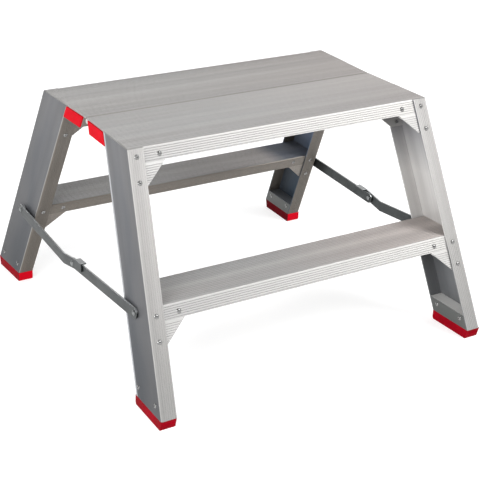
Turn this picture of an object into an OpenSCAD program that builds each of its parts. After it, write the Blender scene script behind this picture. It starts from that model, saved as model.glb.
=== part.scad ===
// Folding double-sided platform step: two aluminium ladder frames, hinged where their platforms meet
// and held open by a locking stay on each side. Millimetres, +Z up. The origin lies on the floor
// under the middle of the platform, the treads run along X, and the front frame stands at -Y.

/* [Platform] */
// Height of the standing surface above the floor
platform_h = 480; // [420:5:540]
// Width over the outer faces of the legs, level with the platform
platform_w = 698; // [600:2:800]
// Depth over the outer faces of the front and rear legs, level with the platform
platform_d = 384; // [360:2:420]
// Gap along the middle, between the two halves of the platform
seam = 0.4; // [0.3:0.1:1]
// Chamfer along both edges of that gap
seam_chamfer = 1.2; // [0.6:0.1:1.4]

/* [Treads] */
// Height of the lower treads above the floor
step_h = 212; // [180:2:240]
// Wall of the tread extrusion, which is also the radius of its nosing
tread_t = 3; // [2.4:0.1:3.6]
// Depth of the aprons, measured down the slope of the legs
apron_h = 30; // [26:1:34]
// Distance of the inner apron from the middle of the platform, level with the top
apron_inset = 9.5; // [7:0.5:14]
// Extra depth of the platform's middle rib, which lowers the inner gussets
rib_extra = 20; // [10:1:30]
// Spacing of the ribs on the standing surfaces
rib_pitch = 6; // [4:0.5:10]
// Depth of the grooves between those ribs
rib_deep = 0.5; // [0.3:0.1:0.8]

/* [Legs] */
// Lean of the legs towards the middle, from the vertical
slope = 24.3; // [22:0.1:26]
// Splay of each leg to its side, within the plane of its frame
splay = 4.1; // [2:0.1:5]
// Width of the leg channel across its web
leg_d = 100; // [90:1:105]
// Length of its flanges
leg_w = 33; // [30:0.5:40]
// Wall of the channel
leg_t = 2.5; // [2:0.1:3]
// Outer radius at the corners of the channel
leg_r = 4; // [3:0.5:6]
// How far the legs stop below the standing surface
leg_drop = 1; // [0.5:0.5:2]

/* [Grooves] */
// Spacing of the decorative grooves on aprons, gussets and flanges
groove_pitch = 4.4; // [3:0.1:5]
// Width of a groove
groove_w = 1.2; // [0.8:0.1:1.6]
// Depth of a groove
groove_deep = 0.7; // [0.3:0.1:1]
// Depth of the shallower grooves on the flanges
flange_groove = 0.3; // [0.2:0.1:0.8]

/* [Gussets] */
// Margin of a gusset along the apron, beyond its apron rivet
gusset_side = 10.5; // [8:0.5:16]
// Margin of a gusset down the leg, below its lowest rivet
gusset_end = 9.5; // [8:0.5:16]
// Width of the gusset's lower edge, from the outer face of the leg
gusset_foot = 30; // [26:1:36]
// Thickness of a gusset
gusset_t = 2.5; // [2:0.1:3]
// Margin of the gusset's tongue above its upper rivets
tongue_edge = 7.5; // [6:0.5:7.5]

/* [Rivets] */
// Radius of the domed rivet heads
rivet_head_r = 5; // [4:0.5:6]
// Height of the heads
rivet_head_h = 2; // [1.5:0.1:2.5]
// Radius of the rivet shanks
rivet_r = 2.4; // [2:0.1:2.8]
// Radius of the hollow in a rivet's head
rivet_bore_r = 1.2; // [0.8:0.1:1.6]
// Depth of that hollow
rivet_bore = 1.1; // [0.6:0.1:1.3]
// Distance of the flange rivets from the outer face of the leg
flange_rivet_in = 17.5; // [15:0.5:20]
// Distance of the apron rivets from the outer face of the leg
apron_rivet_in = 65.5; // [56:0.5:80]
// Distance of the upper rivets below the top of the tread
rivet_high = 16.5; // [15.5:0.5:19]
// Distance of the lower rivets below the top of the tread
rivet_low = 64.5; // [58:0.5:72]

/* [Feet and caps] */
// Height of the plastic foot below the end of its leg
foot_h = 21; // [16:1:28]
// How far the outer end of the foot draws in towards the floor
foot_draw = 5.5; // [3:0.5:8]
// Chamfer along the inner end of the foot's sole
foot_chamfer = 5; // [3:0.5:7]
// Height of the plug that holds the foot in its sleeve
foot_plug = 9; // [6:1:12]
// Height of the sleeve that closes the end of the leg
sleeve_h = 30; // [29:1:40]
// Wall of the sleeve
sleeve_t = 2.5; // [2:0.1:3]
// Distance of the foot rivets above the end of the leg
foot_rivet_up = 20.5; // [17:0.5:22]
// Distance of the foot rivets from the edges of the web
foot_rivet_in = 17; // [15:0.5:20]
// Depth of the plug behind an end cap
cap_plug = 10; // [6:1:16]
// Wall of that plug
cap_wall = 2; // [1.5:0.1:3]

/* [Hinge] */
// Gap between the hinge knuckles and the plates above them
hinge_gap = 0.5; // [0.3:0.1:1]
// Radius of the hinge knuckles
knuckle_r = 5; // [4.5:0.1:6]
// Number of knuckles, half of them on each platform
knuckle_n = 8; // [4:2:12]
// Radius of the hinge pin
hinge_pin_r = 3; // [2.5:0.1:3.4]
// Distance of the outermost knuckles from the ends of the platform
hinge_end = 6; // [5:0.5:12]

/* [Stays] */
// Height of the stay pivots above the floor
stay_h = 186; // [170:1:200]
// How far the elbow hangs below the line of the pivots when locked
elbow_drop = 14; // [10:1:18]
// Width of the stay arms
arm_w = 23; // [19:1:25]
// Thickness of the stay arms
arm_t = 3; // [2:0.5:4]
// Gap between the two arms of a stay
arm_gap = 0.4; // [0.3:0.1:1]
// Distance of the inner arm from the leg, at the pivot
arm_off = 2.2; // [2:0.1:4]
// Distance of the crank's bend from the elbow
crank_l = 41; // [36:1:60]
// How far the bend lies below the elbow
crank_drop = 6; // [4:1:10]
// How far the cranked arm reaches past the elbow
lock_l = 44; // [36:1:50]
// How far the bent lip reaches past the inner face of the arm that it stops
lip_in = 6; // [3:0.5:7]
// Radius of the pivot and elbow pins
stay_pin_r = 4; // [3:0.1:5]
// Radius of their heads
stay_head_r = 5.5; // [5:0.1:7]
// Height of their heads
stay_head_h = 2.4; // [1.8:0.1:3]
// Radius of the spacers between the arms and the legs
spacer_r = 9; // [8:0.5:10]

/* [Fits] */
// Clearance between pieces of one frame
fit = 0.1; // [0.05:0.05:0.15]
// Clearance of a rivet in its holes
hole_fit = 0.1; // [0.05:0.05:0.2]
// Running clearance of the hinge and stay pins
run_fit = 0.06; // [0.02:0.01:0.1]
// Clearance along the pins, between parts that turn
end_fit = 0.3; // [0.3:0.1:0.6]

/* [Hidden] */
$fn = 64;
ENDS = ["front", "rear"];
SIDES = ["left", "right"];
LEVELS = ["platform", "step"];
FACES = ["outer", "inner"];

// A block larger than the whole object, for cutting by planes
reach = platform_w + platform_h + platform_d;
// Depth of the outer and inner apron faces behind the outer face of the flange
outer_depth = leg_t + fit;
inner_depth = leg_d - leg_t - fit;
// Depth of the inner apron's face, measured square to the legs
seam_depth = (platform_d / 2 - apron_inset) * cos(slope);
// Vertical height of the aprons
apron_drop = apron_h * cos(slope);
// Height of the hinge axis
hinge_h = platform_h - tread_t - hinge_gap - knuckle_r;
// Half the length of the knuckle row
hinge_half = platform_w / 2 - platform_d / 2 * sin(slope) * tan(splay) - hinge_end;
// Thickness of everything that a rivet can pass through
stack = leg_t + tread_t + 2 * gusset_t;
// Straight stretches in a quarter turn of a round edge
ARC_STEPS = 6;
// Solid part of a rivet's head, below its hollow
head_floor = rivet_head_h - rivet_bore;
// Tail of a set rivet, one and a half times as wide as its shank
tail_r = 1.5 * rivet_r;
tail_h = rivet_r;
// Outline of a gusset, from the outer face of the leg and down from the top of its tread
gusset_w = apron_rivet_in + gusset_side;
gusset_h = rivet_low + gusset_end;
tongue_top = rivet_high - tongue_edge;
// Height of the foot rivets above the floor
foot_rivet_h = foot_h + foot_rivet_up;

// Heights of the two treads
function tread_h(level) = level == "platform" ? platform_h : step_h;
// Distance down the slope from the top of the leg to a tread's edge, at a flange's outer face. The
// inner joint of the platform lies lower, on its deeper rib
function edge_drop(level, face) =
    (platform_h - tread_h(level)) / cos(slope) - (face == "inner" ? leg_d * tan(slope) : 0)
    + (level == "platform" && face == "inner" ? rib_extra : 0);
// Place along X of the leg's outer face, at a distance down the slope
function leg_x(drop) = -platform_w / 2 - drop * tan(splay);
// Distance down the slope at which a depth behind the flange reaches a height
function drop_at(depth, h) = ((platform_h - h) - depth * sin(slope)) / cos(slope);
// Place along Y of a depth behind the front flange, at a height
function depth_y(depth, h) = -platform_d / 2 + depth / cos(slope) - (platform_h - h) * tan(slope);

// Stay geometry: pivots in the middle of the web, elbow in the middle of the object
stay_drop = drop_at(leg_d / 2, stay_h);
stay_y = -depth_y(leg_d / 2, stay_h);
stay_u = -leg_x(stay_drop);
plain_u = stay_u + arm_off;
crank_u = plain_u + arm_t + arm_gap;
elbow_h = stay_h - elbow_drop;
plain_turn = atan2(elbow_drop, stay_y);
// Radius of a pin's set tail at the elbow
stay_tail_r = (stay_pin_r + stay_head_r) / 2;

// Puts a form of the front left corner at any corner
module corner(end, side) {
    mirror([side == "right" ? 1 : 0, 0, 0])
        mirror([0, end == "rear" ? 1 : 0, 0])
            children();
}

// Turns a form of the front frame, or of the left side, to the opposite one
module turned(yes) {
    rotate([0, 0, yes ? 180 : 0]) children();
}

// Front frame's own axes: X along the treads, Y into the leg, Z up the slope, from its top outer edge
module lean() {
    translate([0, -platform_d / 2, platform_h]) rotate([-slope, 0, 0]) children();
}

// Axes of the front left leg: X into the channel, Y across the web, Z up the leg
module on_leg() {
    lean() translate([-platform_w / 2, 0, 0]) rotate([0, splay, 0]) children();
}

// Axes of one flange, level with a tread's edge: Y into the channel, Z up the slope
module on_flange(level, face) {
    lean()
        translate([0, face == "inner" ? leg_d : 0, -edge_drop(level, face)])
            mirror([0, face == "inner" ? 1 : 0, 0])
                children();
}

// Everything between two heights
module slab(low, high) {
    translate([-reach, -reach, low]) cube([2 * reach, 2 * reach, high - low]);
}

// Everything on the inner side of a plane that lies a depth behind the leg's outer face
module beyond_web(depth) {
    on_leg() translate([depth, -reach, -reach]) cube([reach, 2 * reach, 2 * reach]);
}

// An outline in Y and Z, carried along X over a width
module along_x(x, width) {
    translate([x, 0, 0]) rotate([90, 0, 90]) linear_extrude(width) children();
}

// A round bar along X
module rod(x, y, z, r, l) {
    translate([x, y, z]) rotate([0, 90, 0]) cylinder(r = r, h = l);
}

// Hollow domed head of a rivet, above zero
module rivet_head() {
    dome_r = (pow(rivet_head_r, 2) + pow(rivet_head_h, 2)) / (2 * rivet_head_h);
    translate([0, 0, fit]) rotate_extrude() difference() {
        intersection() {
            translate([0, rivet_head_h - dome_r]) circle(dome_r);
            square([rivet_head_r, rivet_head_h]);
        }
        translate([0, head_floor]) square([rivet_bore_r, rivet_head_h]);
    }
}

// A set rivet along Z: its head above zero, shank through the grip, and a spread tail below it
module rivet(grip) {
    rivet_head();
    translate([0, 0, -grip - fit]) cylinder(r = rivet_r, h = grip + 2 * fit + head_floor / 2);
    translate([0, 0, -grip - fit - tail_h]) cylinder(r = tail_r, h = tail_h);
}

// A long rivet along Z, with a head at both ends of its grip
module through_rivet(grip) {
    past = fit + head_floor / 2;
    rivet_head();
    translate([0, 0, -grip]) mirror([0, 0, 1]) rivet_head();
    translate([0, 0, -grip - past]) cylinder(r = rivet_r, h = grip + 2 * past);
}

// Rivets of a gusset: distance from the leg's outer face, distance below the tread, depth of the face
// that carries the head, and the thickness that the rivet grips
GUSSET_RIVETS = [
    [flange_rivet_in, rivet_high, 0, leg_t + tread_t + gusset_t + 2 * fit],
    [flange_rivet_in, rivet_low, 0, leg_t + gusset_t + fit],
    [apron_rivet_in, rivet_high, outer_depth, tread_t + gusset_t + fit]
];

// Places children on a gusset's rivet, with Z pointing out of the face
module at_gusset_rivet(level, face, spot) {
    on_flange(level, face)
        translate([leg_x(edge_drop(level, face) + spot[1]) + spot[0], spot[2], -spot[1]])
            rotate([90, 0, 0])
                children();
}

// Holes for all the rivets that join one tread's end to the front left leg
module gusset_holes(level) {
    for (face = FACES) for (spot = GUSSET_RIVETS) at_gusset_rivet(level, face, spot)
        translate([0, 0, -stack]) cylinder(r = rivet_r + hole_fit, h = stack + leg_t);
}

// Places children on a foot's rivets, with Z pointing out of the web
module at_foot_rivets() {
    for (depth = [foot_rivet_in, leg_d - foot_rivet_in])
        on_leg()
            translate([0, depth, -drop_at(depth, foot_rivet_h) / cos(splay)])
                rotate([0, -90, 0])
                    children();
}

// Holes for the rivets of one foot, through the web and the sleeve behind it
module foot_holes() {
    at_foot_rivets() cylinder(r = rivet_r + hole_fit, h = 3 * leg_w, center = true);
}

// A row of grooves of one depth along an outline's edge on the Y axis, between two places
module groove_row(from, to, deep) {
    n = floor((to - from) / groove_pitch);
    first = (from + to - (n - 1) * groove_pitch) / 2;
    for (i = [0 : n - 1]) translate([-deep, first + i * groove_pitch - groove_w / 2])
        square([2 * deep, groove_w]);
}

// Channel section of a leg, with rounded outer corners and grooved flanges
module leg_section() {
    difference() {
        union() {
            translate([leg_r, 0]) square([leg_w - leg_r, leg_d]);
            translate([0, leg_r]) square([leg_r, leg_d - 2 * leg_r]);
            for (y = [leg_r, leg_d - leg_r]) translate([leg_r, y]) circle(leg_r);
        }
        translate([leg_t, leg_t]) square([leg_w, leg_d - 2 * leg_t]);
        for (y = [0, leg_d]) translate([0, y]) rotate([0, 0, -90])
            groove_row(leg_r, leg_w, flange_groove);
    }
}

// One leg: a channel with level ends, its inner flange notched to pass under the platform
module leg(end, side) {
    plate_under = platform_h - tread_t - fit;
    color("silver") corner(end, side) difference() {
        intersection() {
            on_leg() translate([0, 0, -reach]) linear_extrude(2 * reach) leg_section();
            slab(foot_h, platform_h - leg_drop);
        }
        intersection() {
            on_leg() translate([leg_t, leg_d / 2, -reach]) cube([leg_w, leg_d, 2 * reach]);
            slab(plate_under, platform_h);
        }
        for (level = LEVELS) gusset_holes(level);
        foot_holes();
        rod(-stay_u - leg_w, -stay_y, stay_h, stay_pin_r + hole_fit, 2 * leg_w);
    }
}

// Point of a tread's section: a depth behind the front flange, at a height
function at_depth(depth, h) = [depth_y(depth, h), h];

// Points of a round edge about a centre, from one direction to another
function arc(centre, r, from, to) =
    let (n = ceil(abs(to - from) / 90 * ARC_STEPS))
    [for (i = [0 : n]) let (a = from + (to - from) * i / n) centre + r * [cos(a), sin(a)]];

// Grooves in the face of an apron at a depth behind the front flange
module apron_grooves(depth, h) {
    translate(at_depth(depth, h)) rotate([0, 0, -slope])
        groove_row(-apron_h, -tread_t, groove_deep);
}

// Grooves between the ribs of a standing surface, from one place along Y to another
module rib_grooves(from, to, h) {
    n = floor((to - from) / rib_pitch);
    first = (from + to - n * rib_pitch) / 2;
    for (i = [0 : n]) translate([first + i * rib_pitch - groove_w / 2, h - rib_deep])
        square([groove_w, 2 * rib_deep]);
}

// Section of the platform's front half: an apron, a deeper rib, and an apron set back from the seam
module platform_section() {
    edge = -seam / 2;
    under = platform_h - tread_t;
    low = platform_h - apron_drop;
    rib_low = low - rib_extra * cos(slope);
    difference() {
        polygon(concat(
            [at_depth(outer_depth, low)],
            arc(at_depth(outer_depth + tread_t, under), tread_t, 180 - slope, 90),
            [[edge - seam_chamfer, platform_h], [edge, platform_h - seam_chamfer], [edge, under]],
            [for (rib = [[seam_depth, low], [inner_depth, rib_low]]) each [
                at_depth(rib[0], under), at_depth(rib[0], rib[1]),
                at_depth(rib[0] - tread_t, rib[1]), at_depth(rib[0] - tread_t, under)
            ]],
            [at_depth(outer_depth + tread_t, under), at_depth(outer_depth + tread_t, low)]
        ));
        apron_grooves(outer_depth, platform_h);
        rib_grooves(depth_y(outer_depth + 2 * tread_t, platform_h), edge - rib_pitch / 2, platform_h);
    }
}

// Section of a lower tread: the plate and two aprons that fit between the flanges
module step_section() {
    under = step_h - tread_t;
    low = step_h - apron_drop;
    inner_wall = inner_depth - tread_t;
    difference() {
        polygon(concat(
            [at_depth(outer_depth, low)],
            arc(at_depth(outer_depth + tread_t, under), tread_t, 180 - slope, 90),
            arc(at_depth(inner_wall, under), tread_t, 90, -slope),
            [at_depth(inner_depth, low), at_depth(inner_wall, low), at_depth(inner_wall, under)],
            [at_depth(outer_depth + tread_t, under), at_depth(outer_depth + tread_t, low)]
        ));
        apron_grooves(outer_depth, step_h);
        apron_grooves(inner_depth, step_h);
        rib_grooves(depth_y(outer_depth + 2 * tread_t, step_h), depth_y(inner_wall, under), step_h);
    }
}

// A tread's section carried between the webs of both legs, drilled for its rivets
module tread(level) {
    difference() {
        along_x(-platform_w, 2 * platform_w) children();
        for (side = SIDES) corner("front", side) {
            difference() {
                translate([-reach, -reach, 0]) cube([reach, 2 * reach, reach]);
                beyond_web(leg_t + fit);
            }
            gusset_holes(level);
        }
    }
}

// Knuckles under the front half's edge, in every other place of the row
module knuckles() {
    pitch = 2 * hinge_half / knuckle_n;
    for (i = [0 : 2 : knuckle_n - 1]) {
        x = -hinge_half + i * pitch;
        rod(x + end_fit, 0, hinge_h, knuckle_r, pitch - 2 * end_fit);
        translate([x + end_fit, -knuckle_r, hinge_h])
            cube([pitch - 2 * end_fit, knuckle_r - seam / 2, knuckle_r + hinge_gap + tread_t / 2]);
    }
}

// One half of the platform, with its row of hinge knuckles
module platform(end) {
    color("lightgray") turned(end == "rear") difference() {
        union() {
            tread("platform") platform_section();
            knuckles();
        }
        rod(-platform_w, 0, hinge_h, hinge_pin_r + run_fit, 2 * platform_w);
    }
}

// One lower tread
module step(end) {
    color("lightgray") turned(end == "rear") tread("step") step_section();
}

// Level of a gusset's shoulder under the apron's level edge, at a depth behind its flange
function shoulder(depth, face) =
    -apron_h - end_fit + (face == "inner" ? -1 : 1) * depth * tan(slope);

// One gusset: a grooved plate in line with the apron, with a tongue stepped in behind it
module gusset(end, side, level, face) {
    low = -gusset_h;
    back = outer_depth + tread_t + fit;
    split = shoulder(back, "inner");
    edge_x = leg_x(edge_drop(level, face) + apron_h);
    color("gainsboro") corner(end, side) difference() {
        intersection() {
            on_flange(level, face) along_x(-platform_w, platform_w) difference() {
                polygon([
                    [outer_depth, low],
                    [outer_depth, shoulder(outer_depth, face)],
                    [back, shoulder(back, face)],
                    [back, -tongue_top],
                    [back + gusset_t, -tongue_top],
                    [back + gusset_t, split - gusset_t],
                    [outer_depth + gusset_t, split - gusset_t - tread_t],
                    [outer_depth + gusset_t, low]
                ]);
                translate([outer_depth, 0]) groove_row(low, split, groove_deep);
            }
            on_flange(level, face) rotate([90, 0, 0]) linear_extrude(2 * leg_d, center = true) polygon([
                [edge_x - leg_w, 0],
                [edge_x + gusset_w, 0],
                [edge_x + gusset_w, -apron_h],
                [edge_x + gusset_foot, low],
                [edge_x - leg_w, low]
            ]);
            beyond_web(leg_t + fit);
        }
        gusset_holes(level);
    }
}

// Rivets that join one tread to both its legs, through flanges, aprons and gussets
module tread_rivets(end, level) {
    color("whitesmoke") for (side = SIDES) corner(end, side)
        for (face = FACES) for (spot = GUSSET_RIVETS) at_gusset_rivet(level, face, spot) rivet(spot[3]);
}

// Corner of the leg's level end: depth behind the flange and distance in from the web's outer face
function end_corner(depth, inset) =
    [leg_x(drop_at(depth, foot_h)) + inset, depth_y(depth, foot_h)];

// Everything inside the leg's channel at a distance from its walls, between two heights
module in_channel(gap, low, high) {
    intersection() {
        on_leg() translate([leg_t + gap, leg_t + gap, -reach])
            cube([leg_w - leg_t - 2 * gap, leg_d - 2 * (leg_t + gap), 2 * reach]);
        slab(low, high);
    }
}

// One foot: a block under the leg's end, drawn in at the outside and chamfered at the inside, with a plug
module foot(end, side) {
    outer_y = depth_y(0, foot_h);
    inner_y = depth_y(leg_d, foot_h);
    color("firebrick") corner(end, side) {
        intersection() {
            linear_extrude(foot_h - fit) polygon([
                end_corner(0, 0), end_corner(0, leg_w), end_corner(leg_d, leg_w), end_corner(leg_d, 0)
            ]);
            along_x(-platform_w, platform_w) polygon([
                [outer_y, foot_h],
                [outer_y + foot_draw, 0],
                [inner_y - foot_chamfer / 2, 0],
                [inner_y, foot_chamfer],
                [inner_y, foot_h]
            ]);
        }
        in_channel(sleeve_t + 2 * fit, foot_h / 2, foot_h + foot_plug);
    }
}

// Sleeve that closes the end of the leg around the foot's plug, with a lid
module foot_sleeve(end, side) {
    high = foot_h + sleeve_h;
    color("darkgray") corner(end, side) difference() {
        in_channel(fit, foot_h, high);
        in_channel(sleeve_t + fit, 0, high - sleeve_t);
        foot_holes();
    }
}

// Rivets through the webs of one frame and the sleeves behind them
module foot_rivets(end) {
    color("whitesmoke") for (side = SIDES) corner(end, side)
        at_foot_rivets() through_rivet(leg_w - fit);
}

// One end cap: a plate in line with the web, with a hollow plug between the flange and the inner apron
module end_cap(end, side) {
    low = platform_h - apron_drop;
    plug_low = leg_d + fit;
    plug_high = seam_depth - tread_t - fit;
    under = platform_h - tread_t - fit;
    color("red") corner(end, side) {
        intersection() {
            on_leg() translate([0, leg_d + fit, -reach]) cube([leg_t, seam_depth - leg_d - fit, 2 * reach]);
            slab(low, under);
        }
        difference() {
            intersection() {
                on_leg() translate([leg_t / 2, plug_low, -reach])
                    cube([cap_plug, plug_high - plug_low, 2 * reach]);
                slab(low, under);
            }
            intersection() {
                on_leg() translate([leg_t, plug_low + cap_wall, -reach])
                    cube([cap_plug, plug_high - plug_low - 2 * cap_wall, 2 * reach]);
                slab(low + cap_wall, under - cap_wall);
            }
        }
    }
}

// Hinge pin through all the knuckles, with a set head at each end
module hinge_pin() {
    head_h = hinge_end / 2;
    color("dimgray") {
        rod(-hinge_half - head_h / 2, 0, hinge_h, hinge_pin_r, 2 * hinge_half + head_h);
        for (x = [-hinge_half - head_h, hinge_half]) rod(x, 0, hinge_h, knuckle_r - end_fit, head_h);
    }
}

// Unit vector square to the line between two points, on its left
function beside(from, to) = let (d = (to - from) / norm(to - from)) [-d[1], d[0]];
// Where the edges beside two lines meet, per unit of distance from their corner
function mitre(before, after) = (before + after) / (1 + before * after);
// Round end of an arm about its pivot, from the left edge of a line that leaves it to the right one
function arm_end(pivot, left) =
    let (a = atan2(left[1], left[0])) arc(pivot, arm_w / 2, a, a + 180);

// Outline of the plain arm of the left stay, from its pivot on the front leg to the elbow
module plain_outline() {
    pivot = [-stay_y, stay_h];
    elbow = [0, elbow_h];
    left = beside(pivot, elbow);
    polygon(concat(arm_end(pivot, left), arm_end(elbow, -left)));
}

// Point by the elbow: a distance along the plain arm and a distance above its middle line
function by_elbow(along, above) =
    [0, elbow_h] + along * [-cos(plain_turn), sin(plain_turn)] + above * [sin(plain_turn), cos(plain_turn)];

// Levels of the lip that rests on the plain arm's upper edge
lip_low = arm_w / 2 + end_fit;
lip_high = lip_low + arm_t;
// Angle of the cranked arm past its bend against the plain arm, and where its upper edge meets the lip
crank_turn = atan2(crank_drop, crank_l) + plain_turn;
lip_start = (lip_high - arm_w / 2 / cos(crank_turn)) / tan(crank_turn);

// Outline of the left stay's lip, a little inside the blade that it is bent from
module lip_outline() {
    start = lip_start + fit;
    end = lock_l - fit;
    low = lip_low + fit;
    high = lip_high - fit;
    polygon([by_elbow(start, low), by_elbow(start, high), by_elbow(end, high), by_elbow(end, low)]);
}

// Outline of the cranked arm of the left stay, from its pivot on the rear leg straight past the elbow
module crank_outline() {
    half = arm_w / 2;
    pivot = [stay_y, stay_h];
    bend = [crank_l, elbow_h - crank_drop];
    left = [beside(pivot, bend), beside(bend, [0, elbow_h])];
    at_bend = half * mitre(left[0], left[1]);
    end_low = lock_l * tan(crank_turn) - half / cos(crank_turn);
    polygon(concat(
        arm_end(pivot, left[0]),
        [bend - at_bend],
        [by_elbow(lip_start, lip_high), by_elbow(lock_l, lip_high), by_elbow(lock_l, end_low)],
        [bend + at_bend]
    ));
}

// Plain arm of a stay
module plain_arm(side) {
    color("slategray") turned(side == "right") difference() {
        along_x(-plain_u - arm_t, arm_t) plain_outline();
        rod(-reach, -stay_y, stay_h, stay_pin_r + run_fit, reach);
        rod(-reach, 0, elbow_h, stay_pin_r + run_fit, reach);
    }
}

// Cranked arm of a stay, with the lip bent in over the plain arm
module cranked_arm(side) {
    color("slategray") turned(side == "right") difference() {
        union() {
            along_x(-crank_u - arm_t, arm_t) crank_outline();
            along_x(-crank_u - arm_t / 2, crank_u + arm_t / 2 - plain_u + lip_in) lip_outline();
        }
        rod(-reach, stay_y, stay_h, stay_pin_r + run_fit, reach);
        rod(-reach, 0, elbow_h, stay_pin_r + run_fit, reach);
    }
}

// Low domed head of a stay pin, from a place along X outwards on the left side
module stay_head(u, y, z) {
    dome_r = (pow(stay_head_r, 2) + pow(stay_head_h, 2)) / (2 * stay_head_h);
    translate([-u, y, z]) rotate([0, -90, 0]) rotate_extrude() intersection() {
        translate([0, stay_head_h - dome_r]) circle(dome_r);
        square([stay_head_r, stay_head_h]);
    }
}

// Outer half of an elbow pin, fixed in the cranked arm
module elbow_head(side) {
    color("lightslategray") turned(side == "right") {
        outer_u = crank_u + arm_t + fit;
        rod(-outer_u - stay_head_h / 2, 0, elbow_h, stay_pin_r, outer_u - crank_u + stay_head_h / 2);
        stay_head(outer_u, 0, elbow_h);
    }
}

// Inner half of an elbow pin, set over the plain arm
module elbow_tail(side) {
    color("lightslategray") turned(side == "right") {
        tail_l = arm_off / 2;
        rod(-plain_u - arm_t, 0, elbow_h, stay_pin_r, arm_t + tail_l);
        rod(-plain_u + fit, 0, elbow_h, stay_tail_r, tail_l);
    }
}

// Spacer between the front left leg and an arm, cut to the slope of the web
module spacer(arm_u) {
    difference() {
        rod(-arm_u + fit, -stay_y, stay_h, spacer_r, arm_u - stay_u + leg_t);
        rod(-reach, -stay_y, stay_h, stay_pin_r + hole_fit, reach);
        beyond_web(-fit);
    }
}

// Pivot pin of an arm on the front left leg: head outside the arm, tail inside the web
module stay_pin(arm_u) {
    outer_u = arm_u + arm_t + end_fit;
    inner_u = stay_u - leg_t;
    shank_l = outer_u - inner_u + (stay_head_h + arm_t) / 2;
    rod(-outer_u - stay_head_h / 2, -stay_y, stay_h, stay_pin_r, shank_l);
    stay_head(outer_u, -stay_y, stay_h);
    intersection() {
        rod(-inner_u - arm_t, -stay_y, stay_h, stay_head_r, 2 * arm_t);
        beyond_web(leg_t + fit);
    }
}

// Spacers on one frame's legs: the plain arm's and the cranked arm's
module stay_spacers(end) {
    color("gray") {
        corner(end, end == "front" ? "left" : "right") spacer(plain_u);
        corner(end, end == "front" ? "right" : "left") spacer(crank_u);
    }
}

// Pivot pins on one frame's legs
module stay_pins(end) {
    color("lightslategray") {
        corner(end, end == "front" ? "left" : "right") stay_pin(plain_u);
        corner(end, end == "front" ? "right" : "left") stay_pin(crank_u);
    }
}

for (e = ENDS) {
    platform(e);
    step(e);
    foot_rivets(e);
    stay_spacers(e);
    stay_pins(e);
    for (l = LEVELS) {
        tread_rivets(e, l);
    }
    for (s = SIDES) {
        leg(e, s);
        foot(e, s);
        foot_sleeve(e, s);
        end_cap(e, s);
        for (l = LEVELS) for (f = FACES) {
            gusset(e, s, l, f);
        }
    }
}
for (s = SIDES) {
    cranked_arm(s);
    plain_arm(s);
    elbow_head(s);
    elbow_tail(s);
}
hinge_pin();
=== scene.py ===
import math

import bpy
import numpy as np
from mathutils import Matrix, Vector

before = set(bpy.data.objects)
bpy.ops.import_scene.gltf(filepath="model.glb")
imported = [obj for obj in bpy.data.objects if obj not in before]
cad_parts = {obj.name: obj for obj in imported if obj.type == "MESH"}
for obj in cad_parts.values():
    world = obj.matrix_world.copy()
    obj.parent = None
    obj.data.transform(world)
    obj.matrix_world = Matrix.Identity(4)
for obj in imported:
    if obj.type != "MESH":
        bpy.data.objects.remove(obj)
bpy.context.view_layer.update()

# Legs: four U-channels of extruded aluminium, open towards the middle, with fine grooves along the flanges.
# They are cut level at both ends and left in the mill finish, so the lines of the die run along each leg.
LEG_SLOPE, LEG_SPLAY = math.radians(24.3), math.radians(4.1)
LEG_EDGE = 0.2725  # how far out across the leg its web begins, from the leaning plane through the origin
LEG_PALE, LEG_HIGH = (0.28, 0.278, 0.272, 1), (0.385, 0.378, 0.371, 1)
# The warm tone is for the stains; the inner tone is painted shade on the faces towards the other frame
LEG_WARM, LEG_INNER_SHADE = (0.3, 0.28, 0.264, 1), (0.118, 0.105, 0.09, 1)
# Painted shade on the outer faces of the webs, darker towards the floor
LEG_WEB_SHADE, LEG_WEB_LOW_SHADE = (0.105, 0.11, 0.12, 1), (0.062, 0.066, 0.073, 1)
# A painted highlight along the inner corners of the front webs, and painted light inside the channels
LEG_CORNER_HIGHLIGHT, LEG_CHANNEL_LIGHT = (0.36, 0.37, 0.39, 1), (0.54, 0.53, 0.52, 1)
# Painted shade inside the channels, towards the platform and below the lower treads
LEG_UNDER_SHADE, LEG_LOW_SHADE = (0.13, 0.137, 0.16, 1), (0.132, 0.137, 0.143, 1)
# Painted shade in the rear legs' channels: bluish on their inner webs, darkest below the lower tread
LEG_REAR_SHADE, LEG_REAR_LOW_SHADE = (0.125, 0.16, 0.225, 1), (0.036, 0.052, 0.072, 1)
# How far a face looks one way before it is picked out: square on, leaning with its frame, or round a corner
SQUARE, LEANING, ROUND = (0.75, 0.95), (0.6, 0.85), (0.3, 0.6)
# Heights over which tones change: up the flanges, and the painted shade up the webs, under the lower treads
# and under the platform
FLANGE_FADE, WEB_FADE, STEP_SHADE, TOP_SHADE = (0.06, 0.34), (0.05, 0.42), (0.185, 0.215), (0.31, 0.445)
CORNER_FADE, FLANGE_FOLD = (0.0075, 0.0105), (0.004, 0.02)  # distances out from the edge of the web
MIDDLE_FADE = 0.02  # distance over which a tone changes at the plane between the two frames
DIE_LINES, DIE_BANDS = (3, 800, 800), (0.4, 26, 26)  # changes per metre, along the extrusion and across it
LINE_SHADE, BAND_SHADE, BAND_LIMITS = (0.93, 1.07), (0.84, 1.16), (0.3, 0.7)
STAIN_SHARE, STAIN_LIMITS = 0.3, (0.4, 0.7)
# Sharp edges are paled by wear and a painted highlight
EDGE_RADIUS, EDGE_TURN, EDGE_SHARE, EDGE_WEAR_AND_HIGHLIGHT = 0.0007, (0.8, 0.985), 0.15, (0.62, 0.62, 0.61, 1)
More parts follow.
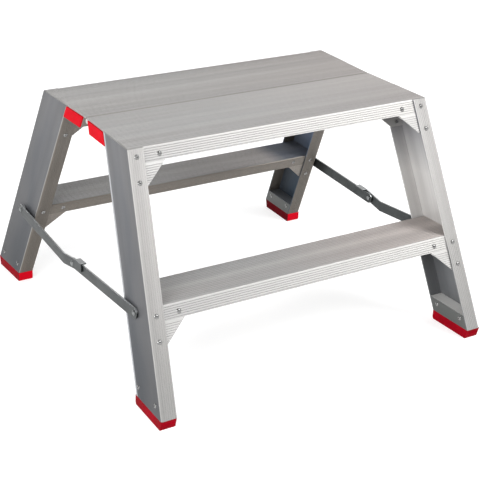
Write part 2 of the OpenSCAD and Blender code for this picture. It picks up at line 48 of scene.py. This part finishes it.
# Painted shade inside grooves, hollows and corners within this reach
GROOVE_REACH, GROOVE_OPEN = 0.0025, (0.45, 0.95)
SHEEN_LIMITS, WORN_ROUGH = (0.15, 0.38), 0.5
GRAIN_DEPTH, LINE_BUMP = 0.0002, 0.1


def wire(tree, kind, inputs=None, **settings):
    """Adds one node to a material: settings are its own options, inputs are constants or sockets."""
    made = tree.nodes.new(kind)
    for name, value in settings.items():
        setattr(made, name, value)
    for name, value in (inputs or {}).items():
        if isinstance(value, bpy.types.NodeSocket):
            tree.links.new(value, made.inputs[name])
        else:
            made.inputs[name].default_value = value
    return made


def span(tree, value, low, high, start=0.25, end=0.75):
    """A value carried from start..end to low..high, and held at the ends."""
    made = wire(tree, "ShaderNodeMapRange",
                {"Value": value, "From Min": start, "From Max": end, "To Min": low, "To Max": high})
    return made.outputs["Result"]


def reckoned(tree, operation, *values):
    """A value worked out from one or two others."""
    return wire(tree, "ShaderNodeMath", dict(enumerate(values)), operation=operation).outputs["Value"]


def times(tree, first, second):
    """Product of two values."""
    return reckoned(tree, "MULTIPLY", first, second)


def blended(tree, amount, under, over):
    """One colour laid over another, by an amount from 0 to 1."""
    return wire(tree, "ShaderNodeMix", {0: amount, 6: under, 7: over}, data_type="RGBA").outputs[2]


def new_finish(name):
    """An empty material with one Principled shader."""
    material = bpy.data.materials.new(name)
    material.use_nodes = True
    tree = material.node_tree
    tree.nodes.clear()
    shader = tree.nodes.new("ShaderNodeBsdfPrincipled")
    output = tree.nodes.new("ShaderNodeOutputMaterial")
    tree.links.new(shader.outputs["BSDF"], output.inputs["Surface"])
    return material, tree, shader


def placed(tree):
    """Where a point of the piece lies, in metres."""
    return wire(tree, "ShaderNodeTexCoord").outputs["Object"]


def folded(tree):
    """Where a point lies when the four corners are folded onto one, over both middle planes."""
    return wire(tree, "ShaderNodeVectorMath", {0: placed(tree)}, operation="ABSOLUTE").outputs["Vector"]


def along_both(tree, first, second):
    """How far two directions agree, or how far a place lies along a direction: their scalar product."""
    made = wire(tree, "ShaderNodeVectorMath", {0: first, 1: second}, operation="DOT_PRODUCT")
    return made.outputs["Value"]


def place_along(tree, axis):
    """Where a point lies along one axis, in metres."""
    return wire(tree, "ShaderNodeSeparateXYZ", {0: placed(tree)}).outputs[axis]


def facing_along(tree, axis):
    """How far a face looks along one axis, from -1 to 1."""
    facing = wire(tree, "ShaderNodeTexCoord").outputs["Normal"]
    return wire(tree, "ShaderNodeSeparateXYZ", {0: facing}).outputs[axis]


def growing(tree, axis, limits):
    """Grows from 0 to 1 between two places along an axis."""
    return span(tree, place_along(tree, axis), 0, 1, *limits)


def falling(tree, axis, limits):
    """Falls from 1 to 0 between two places along an axis."""
    return span(tree, place_along(tree, axis), 1, 0, *limits)


def turned_away(tree, axis):
    """How far a face looks away from the middle plane across one axis: 1 straight away, -1 towards it."""
    return times(tree, reckoned(tree, "SIGN", place_along(tree, axis)), facing_along(tree, axis))


def facing_out(tree, axis, limits):
    """1 on the faces that look away from the middle plane across one axis, and 0 elsewhere."""
    return span(tree, turned_away(tree, axis), 0, 1, *limits)


def facing_in(tree, axis, limits):
    """1 on the faces that look towards the middle plane across one axis, and 0 elsewhere."""
    return span(tree, turned_away(tree, axis), 1, 0, -limits[1], -limits[0])


def on_front(tree):
    """1 on the front frame and 0 on the rear frame."""
    return falling(tree, "Y", (-MIDDLE_FADE, 0))


def on_rear(tree):
    """1 on the rear frame and 0 on the front frame."""
    return growing(tree, "Y", (0, MIDDLE_FADE))


def outer_sides(tree):
    """1 on the flanges and aprons that face away from the other frame, and 0 elsewhere."""
    return facing_out(tree, "Y", LEANING)


def inner_sides(tree):
    """1 on the flanges and aprons that face the other frame, and 0 elsewhere."""
    return facing_in(tree, "Y", LEANING)


def standing_faces(tree):
    """1 on the level faces that look up, and 0 elsewhere."""
    return span(tree, facing_along(tree, "Z"), 0, 1, *SQUARE)


def high_flanges(tree):
    """Grows from 0 to 1 up the outer flanges, which are paler away from the floor."""
    return times(tree, outer_sides(tree), growing(tree, "Z", FLANGE_FADE))


def outer_webs(tree):
    """1 on the outer faces of the webs, which get painted shade, and 0 elsewhere."""
    return facing_out(tree, "X", SQUARE)


def low_webs(tree):
    """Grows from 0 to 1 down the outer faces of the webs, where the painted shade grows darker near the
    floor.
    """
    return times(tree, outer_webs(tree), falling(tree, "Z", WEB_FADE))


def near_web_edge(tree, limits):
    """Falls from 1 to 0 going out across a leg, between two distances from the inner edge of its web."""
    across = along_both(tree, folded(tree), (0, math.cos(LEG_SLOPE), math.sin(LEG_SLOPE)))
    return span(tree, across, 1, 0, LEG_EDGE + limits[0], LEG_EDGE + limits[1])


def highlit_corners(tree):
    """1 along the inner edge of each front web, which gets a painted highlight, and 0 elsewhere."""
    corner = times(tree, near_web_edge(tree, CORNER_FADE), on_front(tree))
    return times(tree, corner, facing_out(tree, "X", ROUND))


def inner_webs(tree):
    """1 on the inner faces of the webs, and 0 elsewhere."""
    return facing_in(tree, "X", SQUARE)


def channels(tree):
    """1 inside the channels, on the web and on the flange nearest the other frame, and 0 elsewhere."""
    flange = times(tree, near_web_edge(tree, FLANGE_FOLD), outer_sides(tree))
    return reckoned(tree, "MAXIMUM", inner_webs(tree), flange)


def high_channels(tree):
    """Grows from 0 to 1 up the inside of the channels, towards the platform, where they get painted shade.
    """
    return times(tree, channels(tree), growing(tree, "Z", TOP_SHADE))


def low_channels(tree):
    """1 inside the channels below the lower treads, where they get painted shade, and 0 elsewhere."""
    return times(tree, channels(tree), falling(tree, "Z", STEP_SHADE))


def rear_webs(tree):
    """1 on the inner faces of the rear legs' webs, which get painted shade, and 0 elsewhere."""
    return times(tree, inner_webs(tree), on_rear(tree))


def low_rear_channels(tree):
    """1 inside the rear legs' channels below the lower tread, where they get the darkest painted shade, and
    0 elsewhere.
    """
    return times(tree, low_channels(tree), on_rear(tree))


def sheltered(tree, reach, low):
    """1 on open faces, falling to low inside grooves, hollows and corners within a reach, as painted shade.
    """
    open_sky = wire(tree, "ShaderNodeAmbientOcclusion", {"Distance": reach}, samples=6, only_local=True)
    return span(tree, open_sky.outputs["AO"], low, 1, *GROOVE_OPEN)


def worn_and_highlit_edges(tree, radius):
    """Normals rounded at sharp edges, and a value growing from 0 to 1 off the flat face, for wear and a
    painted highlight.
    """
    rounded = wire(tree, "ShaderNodeBevel", {"Radius": radius}, samples=4).outputs["Normal"]
    flat = wire(tree, "ShaderNodeNewGeometry").outputs["True Normal"]
    return rounded, span(tree, along_both(tree, rounded, flat), 1, 0, *EDGE_TURN)


def drawn_out(tree, place, scale):
    """A place stretched along each axis, so that a pattern there has so many changes per metre."""
    return wire(tree, "ShaderNodeMapping", {"Vector": place, "Scale": scale}).outputs["Vector"]


def cloudy(tree, place, scale, detail, roughness=0.5, distortion=0.0):
    """A soft random value from 0 to 1."""
    made = wire(tree, "ShaderNodeTexNoise", {"Vector": place, "Scale": scale, "Detail": detail,
                                             "Roughness": roughness, "Distortion": distortion})
    return made.outputs["Fac"]


def mill_aluminium(name, pale, tones, warm, turn=(0, 0, 0), mirrored=False, drawn=(2, 6, 6), metal=0.45,
                   rough=(0.34, 0.48), groove=0.45, wear_and_shade_lift=0.0, gloss=0.5):
    """Extruded aluminium: die lines, broad bands and faint stains, drawn out along the turned X axis.
    Each tone is a function that picks out faces, with their colour; many of the tones are painted light or
    shade.
    Grooves are darkened by painted shade, and edges paled by wear and a painted highlight. The wear amount
    is how far shoes have dulled level faces, and how far the painted shade in their grooves is lifted. Where
    the finish is mirrored, the four corners share one pattern, folded over the middle planes."""
    material, tree, shader = new_finish(name)
    along = wire(tree, "ShaderNodeVectorRotate",
                 {"Vector": folded(tree) if mirrored else placed(tree), "Rotation": turn},
                 rotation_type="EULER_XYZ").outputs["Vector"]
    lines = cloudy(tree, drawn_out(tree, along, DIE_LINES), 1, 3, 0.6)
    bands = cloudy(tree, drawn_out(tree, along, DIE_BANDS), 1, 5, 0.6)
    stains = cloudy(tree, drawn_out(tree, along, drawn), 1, 4, 0.5, 0.3)
    tone = pale
    for picked, picked_tone in tones:
        tone = blended(tree, picked(tree), tone, picked_tone)
    rounded, worn_and_highlit = worn_and_highlit_edges(tree, EDGE_RADIUS)
    tone = blended(tree, span(tree, stains, 0, STAIN_SHARE, *STAIN_LIMITS), tone, warm)
    # Sharp edges paled by wear and a painted highlight
    tone = blended(tree, times(tree, worn_and_highlit, EDGE_SHARE), tone, EDGE_WEAR_AND_HIGHLIGHT)
    streak = times(tree, span(tree, lines, *LINE_SHADE), span(tree, bands, *BAND_SHADE, *BAND_LIMITS))
    worn_and_shade_lifted = times(tree, standing_faces(tree), wear_and_shade_lift)
    # Painted shade in grooves and hollows, lifted on level faces by the wear amount
    open_face = sheltered(tree, GROOVE_REACH, groove)
    depth = wire(tree, "ShaderNodeMix", {0: worn_and_shade_lifted, 2: open_face, 3: 1.0}).outputs[0]
    colour = wire(tree, "ShaderNodeVectorMath", {0: tone, "Scale": times(tree, streak, depth)},
                  operation="SCALE").outputs["Vector"]
    tree.links.new(colour, shader.inputs["Base Color"])
    sheen = span(tree, times(tree, lines, bands), *rough, *SHEEN_LIMITS)
    dull = reckoned(tree, "ADD", sheen, times(tree, worn_and_shade_lifted, WORN_ROUGH))
    tree.links.new(dull, shader.inputs["Roughness"])
    bump = wire(tree, "ShaderNodeBump",
                {"Height": lines, "Strength": LINE_BUMP, "Distance": GRAIN_DEPTH, "Normal": rounded})
    tree.links.new(bump.outputs["Normal"], shader.inputs["Normal"])
    shader.inputs["Metallic"].default_value = metal
    shader.inputs["Specular IOR Level"].default_value = gloss
    return material


def dress(names, material):
    """Gives CAD nodes one finish."""
    for name in names:
        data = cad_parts[name].data
        data.materials.clear()
        data.materials.append(material)


ENDS, SIDES = ("front", "rear"), ("left", "right")
CORNERS = [f"{end}_{side}" for end in ENDS for side in SIDES]
# Turned so that X runs down the folded leg: its foot lies out along both X and Y
leg_run = Vector((math.sin(LEG_SPLAY), math.cos(LEG_SPLAY) * math.sin(LEG_SLOPE),
                  -math.cos(LEG_SPLAY) * math.cos(LEG_SLOPE)))
leg_turn = leg_run.rotation_difference(Vector((1, 0, 0))).to_euler("XYZ")
# Leg tones after the high flanges are painted: shade on the outer webs, on faces towards the other frame,
# under the platform, below the lower treads and in the rear legs; light inside the channels; a highlight on
# the front webs' inner corners
leg_tones = [(high_flanges, LEG_HIGH), (outer_webs, LEG_WEB_SHADE), (low_webs, LEG_WEB_LOW_SHADE),
             (highlit_corners, LEG_CORNER_HIGHLIGHT), (inner_sides, LEG_INNER_SHADE), (channels, LEG_CHANNEL_LIGHT),
             (high_channels, LEG_UNDER_SHADE), (rear_webs, LEG_REAR_SHADE), (low_channels, LEG_LOW_SHADE),
             (low_rear_channels, LEG_REAR_LOW_SHADE)]
leg_finish = mill_aluminium("leg_aluminium", LEG_PALE, leg_tones, LEG_WARM, leg_turn, mirrored=True,
                            metal=0.35, rough=(0.42, 0.56), groove=0.75, gloss=0.12)
dress([f"{corner}_leg" for corner in CORNERS], leg_finish)

# Treads: two half platforms and two lower treads of extruded aluminium, ribbed along the standing surface,
# with three or two aprons below it. Their ends stand between the legs' flanges, held by gussets and rivets.
# The half platforms carry the hinge knuckles under the seam.
TREAD_PALE, TREAD_WARM = (0.355, 0.352, 0.348, 1), (0.40, 0.37, 0.35, 1)
# The far tone is painted light on the tops' right ends
TREAD_TOP, TREAD_FAR_LIGHT = (0.36, 0.358, 0.355, 1), (0.39, 0.366, 0.356, 1)
# Painted shade on the faces towards the other frame, and on the round nosings
TREAD_INNER_SHADE, TREAD_SEAM, TREAD_NOSE_SHADE = (0.15, 0.13, 0.108, 1), (0.13, 0.125, 0.12, 1), (0.24, 0.236, 0.23, 1)
# Painted light at the right ends of the front lower tread and of the aprons, and painted shade at the right
# end of the rear lower tread
STEP_FAR_LIGHT, STEP_REAR_SHADE, APRON_FAR_LIGHT = (0.5, 0.45, 0.43, 1), (0.13, 0.148, 0.185, 1), (0.44, 0.433, 0.42, 1)
# Places from left to right between which painted light grows on the tops, the front lower tread and the
# aprons, and painted shade at the rear lower tread's right end
TOP_RUN, STEP_RUN, REAR_RUN, APRON_RUN = (-0.1, 0.35), (-0.05, 0.3), (0.24, 0.285), (-0.3, 0.3)
STEP_TOP = (0.25, 0.3)  # heights between the lower treads and the platform
LEVELS = ("platform", "step")
SEAM_REACH = (0.0015, 0.0028)  # distances from the middle of the seam
NOSE_START, NOSE_END = (0.5, 0.6), (0.9, 0.97)  # how far the round edges look up


def far_tops(tree):
    """Grows from 0 to 1 along the standing surfaces, towards their right ends, where they get painted light.
    """
    return times(tree, standing_faces(tree), growing(tree, "X", TOP_RUN))


def step_tops(tree):
    """1 on the standing surfaces of the lower treads, and 0 elsewhere."""
    return times(tree, standing_faces(tree), falling(tree, "Z", STEP_TOP))


def front_step_end(tree):
    """Grows from 0 to 1 along the standing surface of the front lower tread, towards its right end, where it
    gets painted light.
    """
    return times(tree, times(tree, step_tops(tree), on_front(tree)), growing(tree, "X", STEP_RUN))


def rear_step_end(tree):
    """Grows from 0 to 1 at the right end of the rear lower tread's standing surface, where it gets painted
    shade.
    """
    return times(tree, times(tree, step_tops(tree), on_rear(tree)), growing(tree, "X", REAR_RUN))


def apron_ends(tree):
    """Grows from 0 to 1 along the outer aprons, towards their right ends, where they get painted light."""
    return times(tree, outer_sides(tree), growing(tree, "X", APRON_RUN))


def seam_edges(tree):
    """1 beside the seam between the half platforms, where dirt stays, and 0 elsewhere."""
    return span(tree, reckoned(tree, "ABSOLUTE", place_along(tree, "Y")), 1, 0, *SEAM_REACH)


def nosings(tree):
    """1 on the round edges between the standing surfaces and their aprons, which get painted shade, and 0
    elsewhere.
    """
    upward = facing_along(tree, "Z")
    return times(tree, span(tree, upward, 0, 1, *NOSE_START), span(tree, upward, 1, 0, *NOSE_END))


# Painted light at the right ends; painted shade on the rear lower tread's right end, the nosings and the
# faces towards the other frame
tread_tones = [(apron_ends, APRON_FAR_LIGHT), (standing_faces, TREAD_TOP), (far_tops, TREAD_FAR_LIGHT),
               (front_step_end, STEP_FAR_LIGHT), (rear_step_end, STEP_REAR_SHADE), (nosings, TREAD_NOSE_SHADE),
               (seam_edges, TREAD_SEAM), (inner_sides, TREAD_INNER_SHADE)]
tread_finish = mill_aluminium("tread_aluminium", TREAD_PALE, tread_tones, TREAD_WARM, drawn=(0.8, 12, 12),
                              metal=0.4, rough=(0.36, 0.5), wear_and_shade_lift=0.6)
dress([f"{end}_{level}" for level in LEVELS for end in ENDS], tread_finish)

# Gussets: sixteen grooved plates sawn from an aluminium extrusion, riveted behind the aprons and flanges.
# They have the treads' mill finish, with painted shade where they face the other frame.
GUSSET_PALE, FACES = (0.41, 0.405, 0.398, 1), ("outer", "inner")
gusset_finish = mill_aluminium("gusset_aluminium", GUSSET_PALE, [(inner_sides, TREAD_INNER_SHADE)], TREAD_WARM)
dress([f"{corner}_{level}_{face}_gusset" for corner in CORNERS for level in LEVELS for face in FACES],
      gusset_finish)

# Rivets: bright aluminium blind rivets with domed heads, hollow in the middle where the mandrel broke off.
# The foot rivets go right through web and sleeve, and have a head at both ends.
RIVET_GREY, RIVET_WARM = (0.24, 0.24, 0.238, 1), (0.22, 0.21, 0.2, 1)
# The hollows of the heads get deep painted shade
rivet_finish = mill_aluminium("rivet_aluminium", RIVET_GREY, [], RIVET_WARM, metal=0.8, rough=(0.2, 0.3),
                              groove=0.05)
dress([f"{end}_{kind}_rivets" for end in ENDS for kind in (*LEVELS, "foot")], rivet_finish)

# Feet: moulded red plastic blocks under the leg ends, each with a plug that is pressed into a sleeve.
# They carry the marks of moulding, and are a little scuffed.
FOOT_DEEP, FOOT_BRIGHT = (0.18, 0.0, 0.004, 1), (0.26, 0.001, 0.008, 1)
# Painted light on the faces towards the other frame, and painted shade on the inner ends of the rear feet
FOOT_INNER_LIGHT, FOOT_REAR_SHADE = (0.46, 0.002, 0.01, 1), (0.09, 0.0, 0.003, 1)
FOOT_END = (0.6, 0.9)  # how far the inner end of a foot looks towards the middle
PLASTIC_GRAIN, PLASTIC_FLOW, FLOW_LIMITS = 1400, 38, (0.3, 0.7)
PLASTIC_ROUGH, PLASTIC_BUMP, PLASTIC_GLOSS = (0.42, 0.6), 0.25, 0.02


def ramp(tree, value, limits, low, high):
    """Colour for a value: low and high at its two limits, straight between them and held beyond them."""
    made = wire(tree, "ShaderNodeValToRGB", {"Fac": value})
    for stop, limit, colour in zip(made.color_ramp.elements, limits, (low, high)):
        stop.position = limit
        stop.color = colour
    return made.outputs["Color"]


def rear_foot_ends(tree):
    """1 on the ends of the rear feet that face the middle, which get painted shade, and 0 elsewhere."""
    return times(tree, facing_in(tree, "X", FOOT_END), on_rear(tree))


def moulded_plastic(name, deep, bright, tones=()):
    """Satin moulded plastic: a fine even grain, with faint flow marks and scuffs that pale the colour.
    Each tone is a function that picks out faces, with their colour."""
    material, tree, shader = new_finish(name)
    place = placed(tree)
    grain = cloudy(tree, place, PLASTIC_GRAIN, 2)
    flow = cloudy(tree, place, PLASTIC_FLOW, 5, distortion=0.8)
    red = ramp(tree, flow, FLOW_LIMITS, deep, bright)
    for picked, picked_red in tones:
        red = blended(tree, picked(tree), red, picked_red)
    tree.links.new(red, shader.inputs["Base Color"])
    tree.links.new(span(tree, flow, *PLASTIC_ROUGH), shader.inputs["Roughness"])
    bump = wire(tree, "ShaderNodeBump", {"Height": grain, "Strength": PLASTIC_BUMP, "Distance": GRAIN_DEPTH})
    tree.links.new(bump.outputs["Normal"], shader.inputs["Normal"])
    shader.inputs["Specular IOR Level"].default_value = PLASTIC_GLOSS
    return material


# Painted light on the inner faces, and painted shade on the rear feet's inner ends
foot_tones = [(inner_sides, FOOT_INNER_LIGHT), (rear_foot_ends, FOOT_REAR_SHADE)]
foot_finish = moulded_plastic("foot_plastic", FOOT_DEEP, FOOT_BRIGHT, foot_tones)
dress([f"{corner}_foot" for corner in CORNERS], foot_finish)

# Foot sleeves: short pieces of aluminium box with a lid, which close each leg's end around the foot's plug.
# They are left dull: their fronts carry painted shade and their lids painted light, and the foot rivets hold
# them in the channel.
# Painted shade on the fronts, painted light on the lids, and painted shade on the rear legs' lids
SLEEVE_FRONT_SHADE, SLEEVE_WARM = (0.075, 0.08, 0.077, 1), (0.14, 0.13, 0.12, 1)
SLEEVE_LID_LIGHT, SLEEVE_REAR_SHADE = (0.85, 0.84, 0.82, 1), (0.2, 0.21, 0.23, 1)


def rear_lids(tree):
    """1 on the lids in the rear legs, which get painted shade, and 0 elsewhere."""
    return times(tree, standing_faces(tree), on_rear(tree))


# Lids painted light, darkened by painted shade in the rear legs
sleeve_tones = [(standing_faces, SLEEVE_LID_LIGHT), (rear_lids, SLEEVE_REAR_SHADE)]
sleeve_turn = (0, 0, math.pi / 2)
sleeve_finish = mill_aluminium("sleeve_aluminium", SLEEVE_FRONT_SHADE, sleeve_tones, SLEEVE_WARM, sleeve_turn)
dress([f"{corner}_foot_sleeve" for corner in CORNERS], sleeve_finish)

# End caps: bright red plastic covers, each moulded with a hollow plug.
# They are pressed into the open ends of the half platforms, beside the legs.
CAP_DEEP, CAP_BRIGHT = (0.44, 0.002, 0.008, 1), (0.52, 0.004, 0.013, 1)
cap_finish = moulded_plastic("cap_plastic", CAP_DEEP, CAP_BRIGHT)
dress([f"{corner}_end_cap" for corner in CORNERS], cap_finish)

# Hinge pin: one bright zinc-plated steel rod under the seam, through the knuckles of both half platforms.
# A head is set at each end, so that it stays in them.
PIN_DARK, PIN_LIGHT, PIN_HUE = (0.5, 0.5, 0.5, 1), (0.74, 0.74, 0.73, 1), (0.66, 0.64, 0.58, 1)
PIN_ROUGH = (0.24, 0.42)
# Faces that look up get painted light; sharp edges are paled by wear and a painted highlight
STEEL_UPPER_LIGHT, STEEL_EDGE_WEAR_AND_HIGHLIGHT = (0.8, 0.82, 0.83, 1), (0.6, 0.62, 0.63, 1)
STEEL_EDGE_RADIUS, STEEL_EDGE_SHARE = 0.0006, 0.3
STEEL_CRYSTALS, CRYSTAL_SHARE, CRYSTAL_LIMITS = 420, 0.3, (0.2, 0.9)
STEEL_GRAIN, STEEL_BUMP, STEEL_METAL = (700, 20, 700), 0.15, 0.9
CLOUD_LIMITS, LOOKING_UP = (0.3, 0.62), (0.3, 0.6)


def plated_steel(name, dark, light, hue, rough, scale=60, upward_light=0.0):
    """Zinc-plated steel: small cloudy crystals, patches of tinted passivation and a drawn grain along Y.
    The amount for faces that look up is how far they are paled, as painted light."""
    material, tree, shader = new_finish(name)
    place = placed(tree)
    crystal = wire(tree, "ShaderNodeTexVoronoi", {"Vector": place, "Scale": STEEL_CRYSTALS})
    cloud = cloudy(tree, place, scale, 5, 0.6)
    grain = cloudy(tree, drawn_out(tree, place, STEEL_GRAIN), 1, 3)
    grey = ramp(tree, cloud, CLOUD_LIMITS, dark, light)
    rounded, worn_and_highlit = worn_and_highlit_edges(tree, STEEL_EDGE_RADIUS)
    tinted = span(tree, crystal.outputs["Color"], 0, CRYSTAL_SHARE, *CRYSTAL_LIMITS)
    colour = blended(tree, tinted, grey, hue)
    # Faces that look up paled as painted light
    colour = blended(tree, span(tree, facing_along(tree, "Z"), 0, upward_light, *LOOKING_UP), colour, STEEL_UPPER_LIGHT)
    # Sharp edges paled by wear and a painted highlight
    colour = blended(tree, times(tree, worn_and_highlit, STEEL_EDGE_SHARE), colour, STEEL_EDGE_WEAR_AND_HIGHLIGHT)
    tree.links.new(colour, shader.inputs["Base Color"])
    tree.links.new(span(tree, grain, *rough), shader.inputs["Roughness"])
    bump = wire(tree, "ShaderNodeBump",
                {"Height": grain, "Strength": STEEL_BUMP, "Distance": GRAIN_DEPTH, "Normal": rounded})
    tree.links.new(bump.outputs["Normal"], shader.inputs["Normal"])
    shader.inputs["Metallic"].default_value = STEEL_METAL
    return material


pin_finish = plated_steel("pin_steel", PIN_DARK, PIN_LIGHT, PIN_HUE, PIN_ROUGH)
dress(["hinge_pin"], pin_finish)

# Stays: flat zinc-plated steel bars that lock the frames open, each held to its leg by a pin and a spacer.
# One arm of each is cranked and ends past the elbow in a lip, bent in over the other arm.
STAY_DARK, STAY_LIGHT, STAY_HUE = (0.035, 0.039, 0.039, 1), (0.065, 0.071, 0.07, 1), (0.075, 0.083, 0.09, 1)
JOINT_DARK, JOINT_LIGHT, JOINT_HUE = (0.14, 0.145, 0.145, 1), (0.3, 0.31, 0.31, 1), (0.24, 0.25, 0.26, 1)
# The stays' faces that look up get painted light
stay_finish = plated_steel("stay_steel", STAY_DARK, STAY_LIGHT, STAY_HUE, (0.28, 0.46), scale=28, upward_light=0.8)
dress([f"{side}_{kind}_arm" for side in SIDES for kind in ("cranked", "plain")], stay_finish)
dress([f"{end}_stay_spacers" for end in ENDS], stay_finish)
joint_finish = plated_steel("joint_steel", JOINT_DARK, JOINT_LIGHT, JOINT_HUE, PIN_ROUGH)
dress([f"{end}_stay_pins" for end in ENDS], joint_finish)
dress([f"{side}_elbow_{half}" for side in SIDES for half in ("head", "tail")], joint_finish)

# Floor: a plain pale sheet of studio paper, wide enough to fill the picture behind the object.
# It glows a little, so that it comes out as white as the photograph's background.
FLOOR_HALF, FLOOR_LINES, FLOOR_GLOW = 40.0, 13, 0.62
FLOOR_DARK, FLOOR_PALE, FLOOR_LIMITS = (0.5, 0.5, 0.5, 1), (0.52, 0.52, 0.52, 1), (0.3, 0.7)


def sheet_grid(half, count):
    """A level square: the point (u, v) lies at (half u, half v, 0), for u and v from -1 to 1."""
    line = np.linspace(-half, half, count)
    x, y = np.meshgrid(line, line)
    points = np.stack([x, y, np.zeros_like(x)], axis=-1).reshape(-1, 3)
    first = (np.arange(count - 1)[:, None] * count + np.arange(count - 1)).ravel()
    quads = np.stack([first, first + 1, first + count + 1, first + count], axis=-1)
    return points, quads


points, quads = sheet_grid(FLOOR_HALF, FLOOR_LINES)
floor_mesh = bpy.data.meshes.new("floor")
floor_mesh.from_pydata(points.tolist(), [], quads.tolist())
floor = bpy.data.objects.new("floor", floor_mesh)
bpy.context.scene.collection.objects.link(floor)
floor_finish, floor_tree, floor_shader = new_finish("floor_paper")
floor_cloud = cloudy(floor_tree, placed(floor_tree), 0.8, 3)
floor_grey = ramp(floor_tree, floor_cloud, FLOOR_LIMITS, FLOOR_DARK, FLOOR_PALE)
floor_tree.links.new(floor_grey, floor_shader.inputs["Base Color"])
floor_shader.inputs["Roughness"].default_value = 0.9
floor_shader.inputs["Emission Color"].default_value = (1, 1, 1, 1)
floor_shader.inputs["Emission Strength"].default_value = FLOOR_GLOW
floor_mesh.materials.append(floor_finish)

# Light: soft boxes low and high in front, a wide one overhead, one on each side and one behind.
# A dim pale room fills in the rest.
ROOM_LIGHT = 0.3
scene = bpy.context.scene
scene.view_settings.view_transform = "Standard"
world = bpy.data.worlds.new("studio")
world.use_nodes = True
world.node_tree.nodes["Background"].inputs["Color"].default_value = (1.0, 1.0, 1.0, 1)
world.node_tree.nodes["Background"].inputs["Strength"].default_value = ROOM_LIGHT
scene.world = world


def softbox(name, place, aim, width, height, power):
    """A rectangular lamp at a place, turned towards a point."""
    lamp = bpy.data.lights.new(name, "AREA")
    lamp.shape, lamp.size, lamp.size_y, lamp.energy = "RECTANGLE", width, height, power
    holder = bpy.data.objects.new(name, lamp)
    holder.location = place
    holder.rotation_euler = (Vector(aim) - Vector(place)).to_track_quat("-Z", "Y").to_euler()
    scene.collection.objects.link(holder)


softbox("front_light", (4.0, -4.8, 2.4), (0.15, 0, 0.25), 3.0, 2.6, 120)
softbox("high_light", (2.0, -2.6, 3.4), (0.1, -0.2, 0.2), 2.2, 2.0, 130)
softbox("top_light", (0.9, 1.6, 3.4), (0.1, 0, 0.3), 3.0, 3.0, 20)
softbox("left_light", (-3.0, -1.6, 1.6), (0, 0, 0.2), 2.4, 1.8, 132)
softbox("right_light", (3.4, 0.2, 1.2), (0, 0, 0.2), 2.4, 1.8, 36)
softbox("rear_light", (-0.9, 5.4, 2.2), (0, 0, 0.25), 4.0, 2.0, 120)

# Camera: at the photograph's viewing angle, turned a little about its own axis.
# Its place, direction and focal length were fitted to corners of the object in the photograph.
AZIMUTH, ELEVATION, ROLL = math.radians(-32.345), math.radians(25.027), math.radians(2.217)
DISTANCE, TARGET = 2.724, Vector((0.0238, 0.0, 0.1384))
FOCAL_PIXELS, PICTURE_PIXELS, SENSOR_WIDTH = 1234.7, 480, 36
camera_data = bpy.data.cameras.new("camera")
camera_data.sensor_width, camera_data.lens = SENSOR_WIDTH, FOCAL_PIXELS / PICTURE_PIXELS * SENSOR_WIDTH
camera = bpy.data.objects.new("camera", camera_data)
back = Vector((math.sin(AZIMUTH) * math.cos(ELEVATION), -math.cos(AZIMUTH) * math.cos(ELEVATION),
               math.sin(ELEVATION)))
level = (-back).cross(Vector((0, 0, 1))).normalized()
upright = level.cross(-back)
right = level * math.cos(ROLL) + upright * math.sin(ROLL)
above = upright * math.cos(ROLL) - level * math.sin(ROLL)
turned = Matrix((right, above, back)).transposed().to_4x4()
camera.matrix_world = Matrix.Translation(TARGET + back * DISTANCE) @ turned
scene.collection.objects.link(camera)
scene.camera = camera
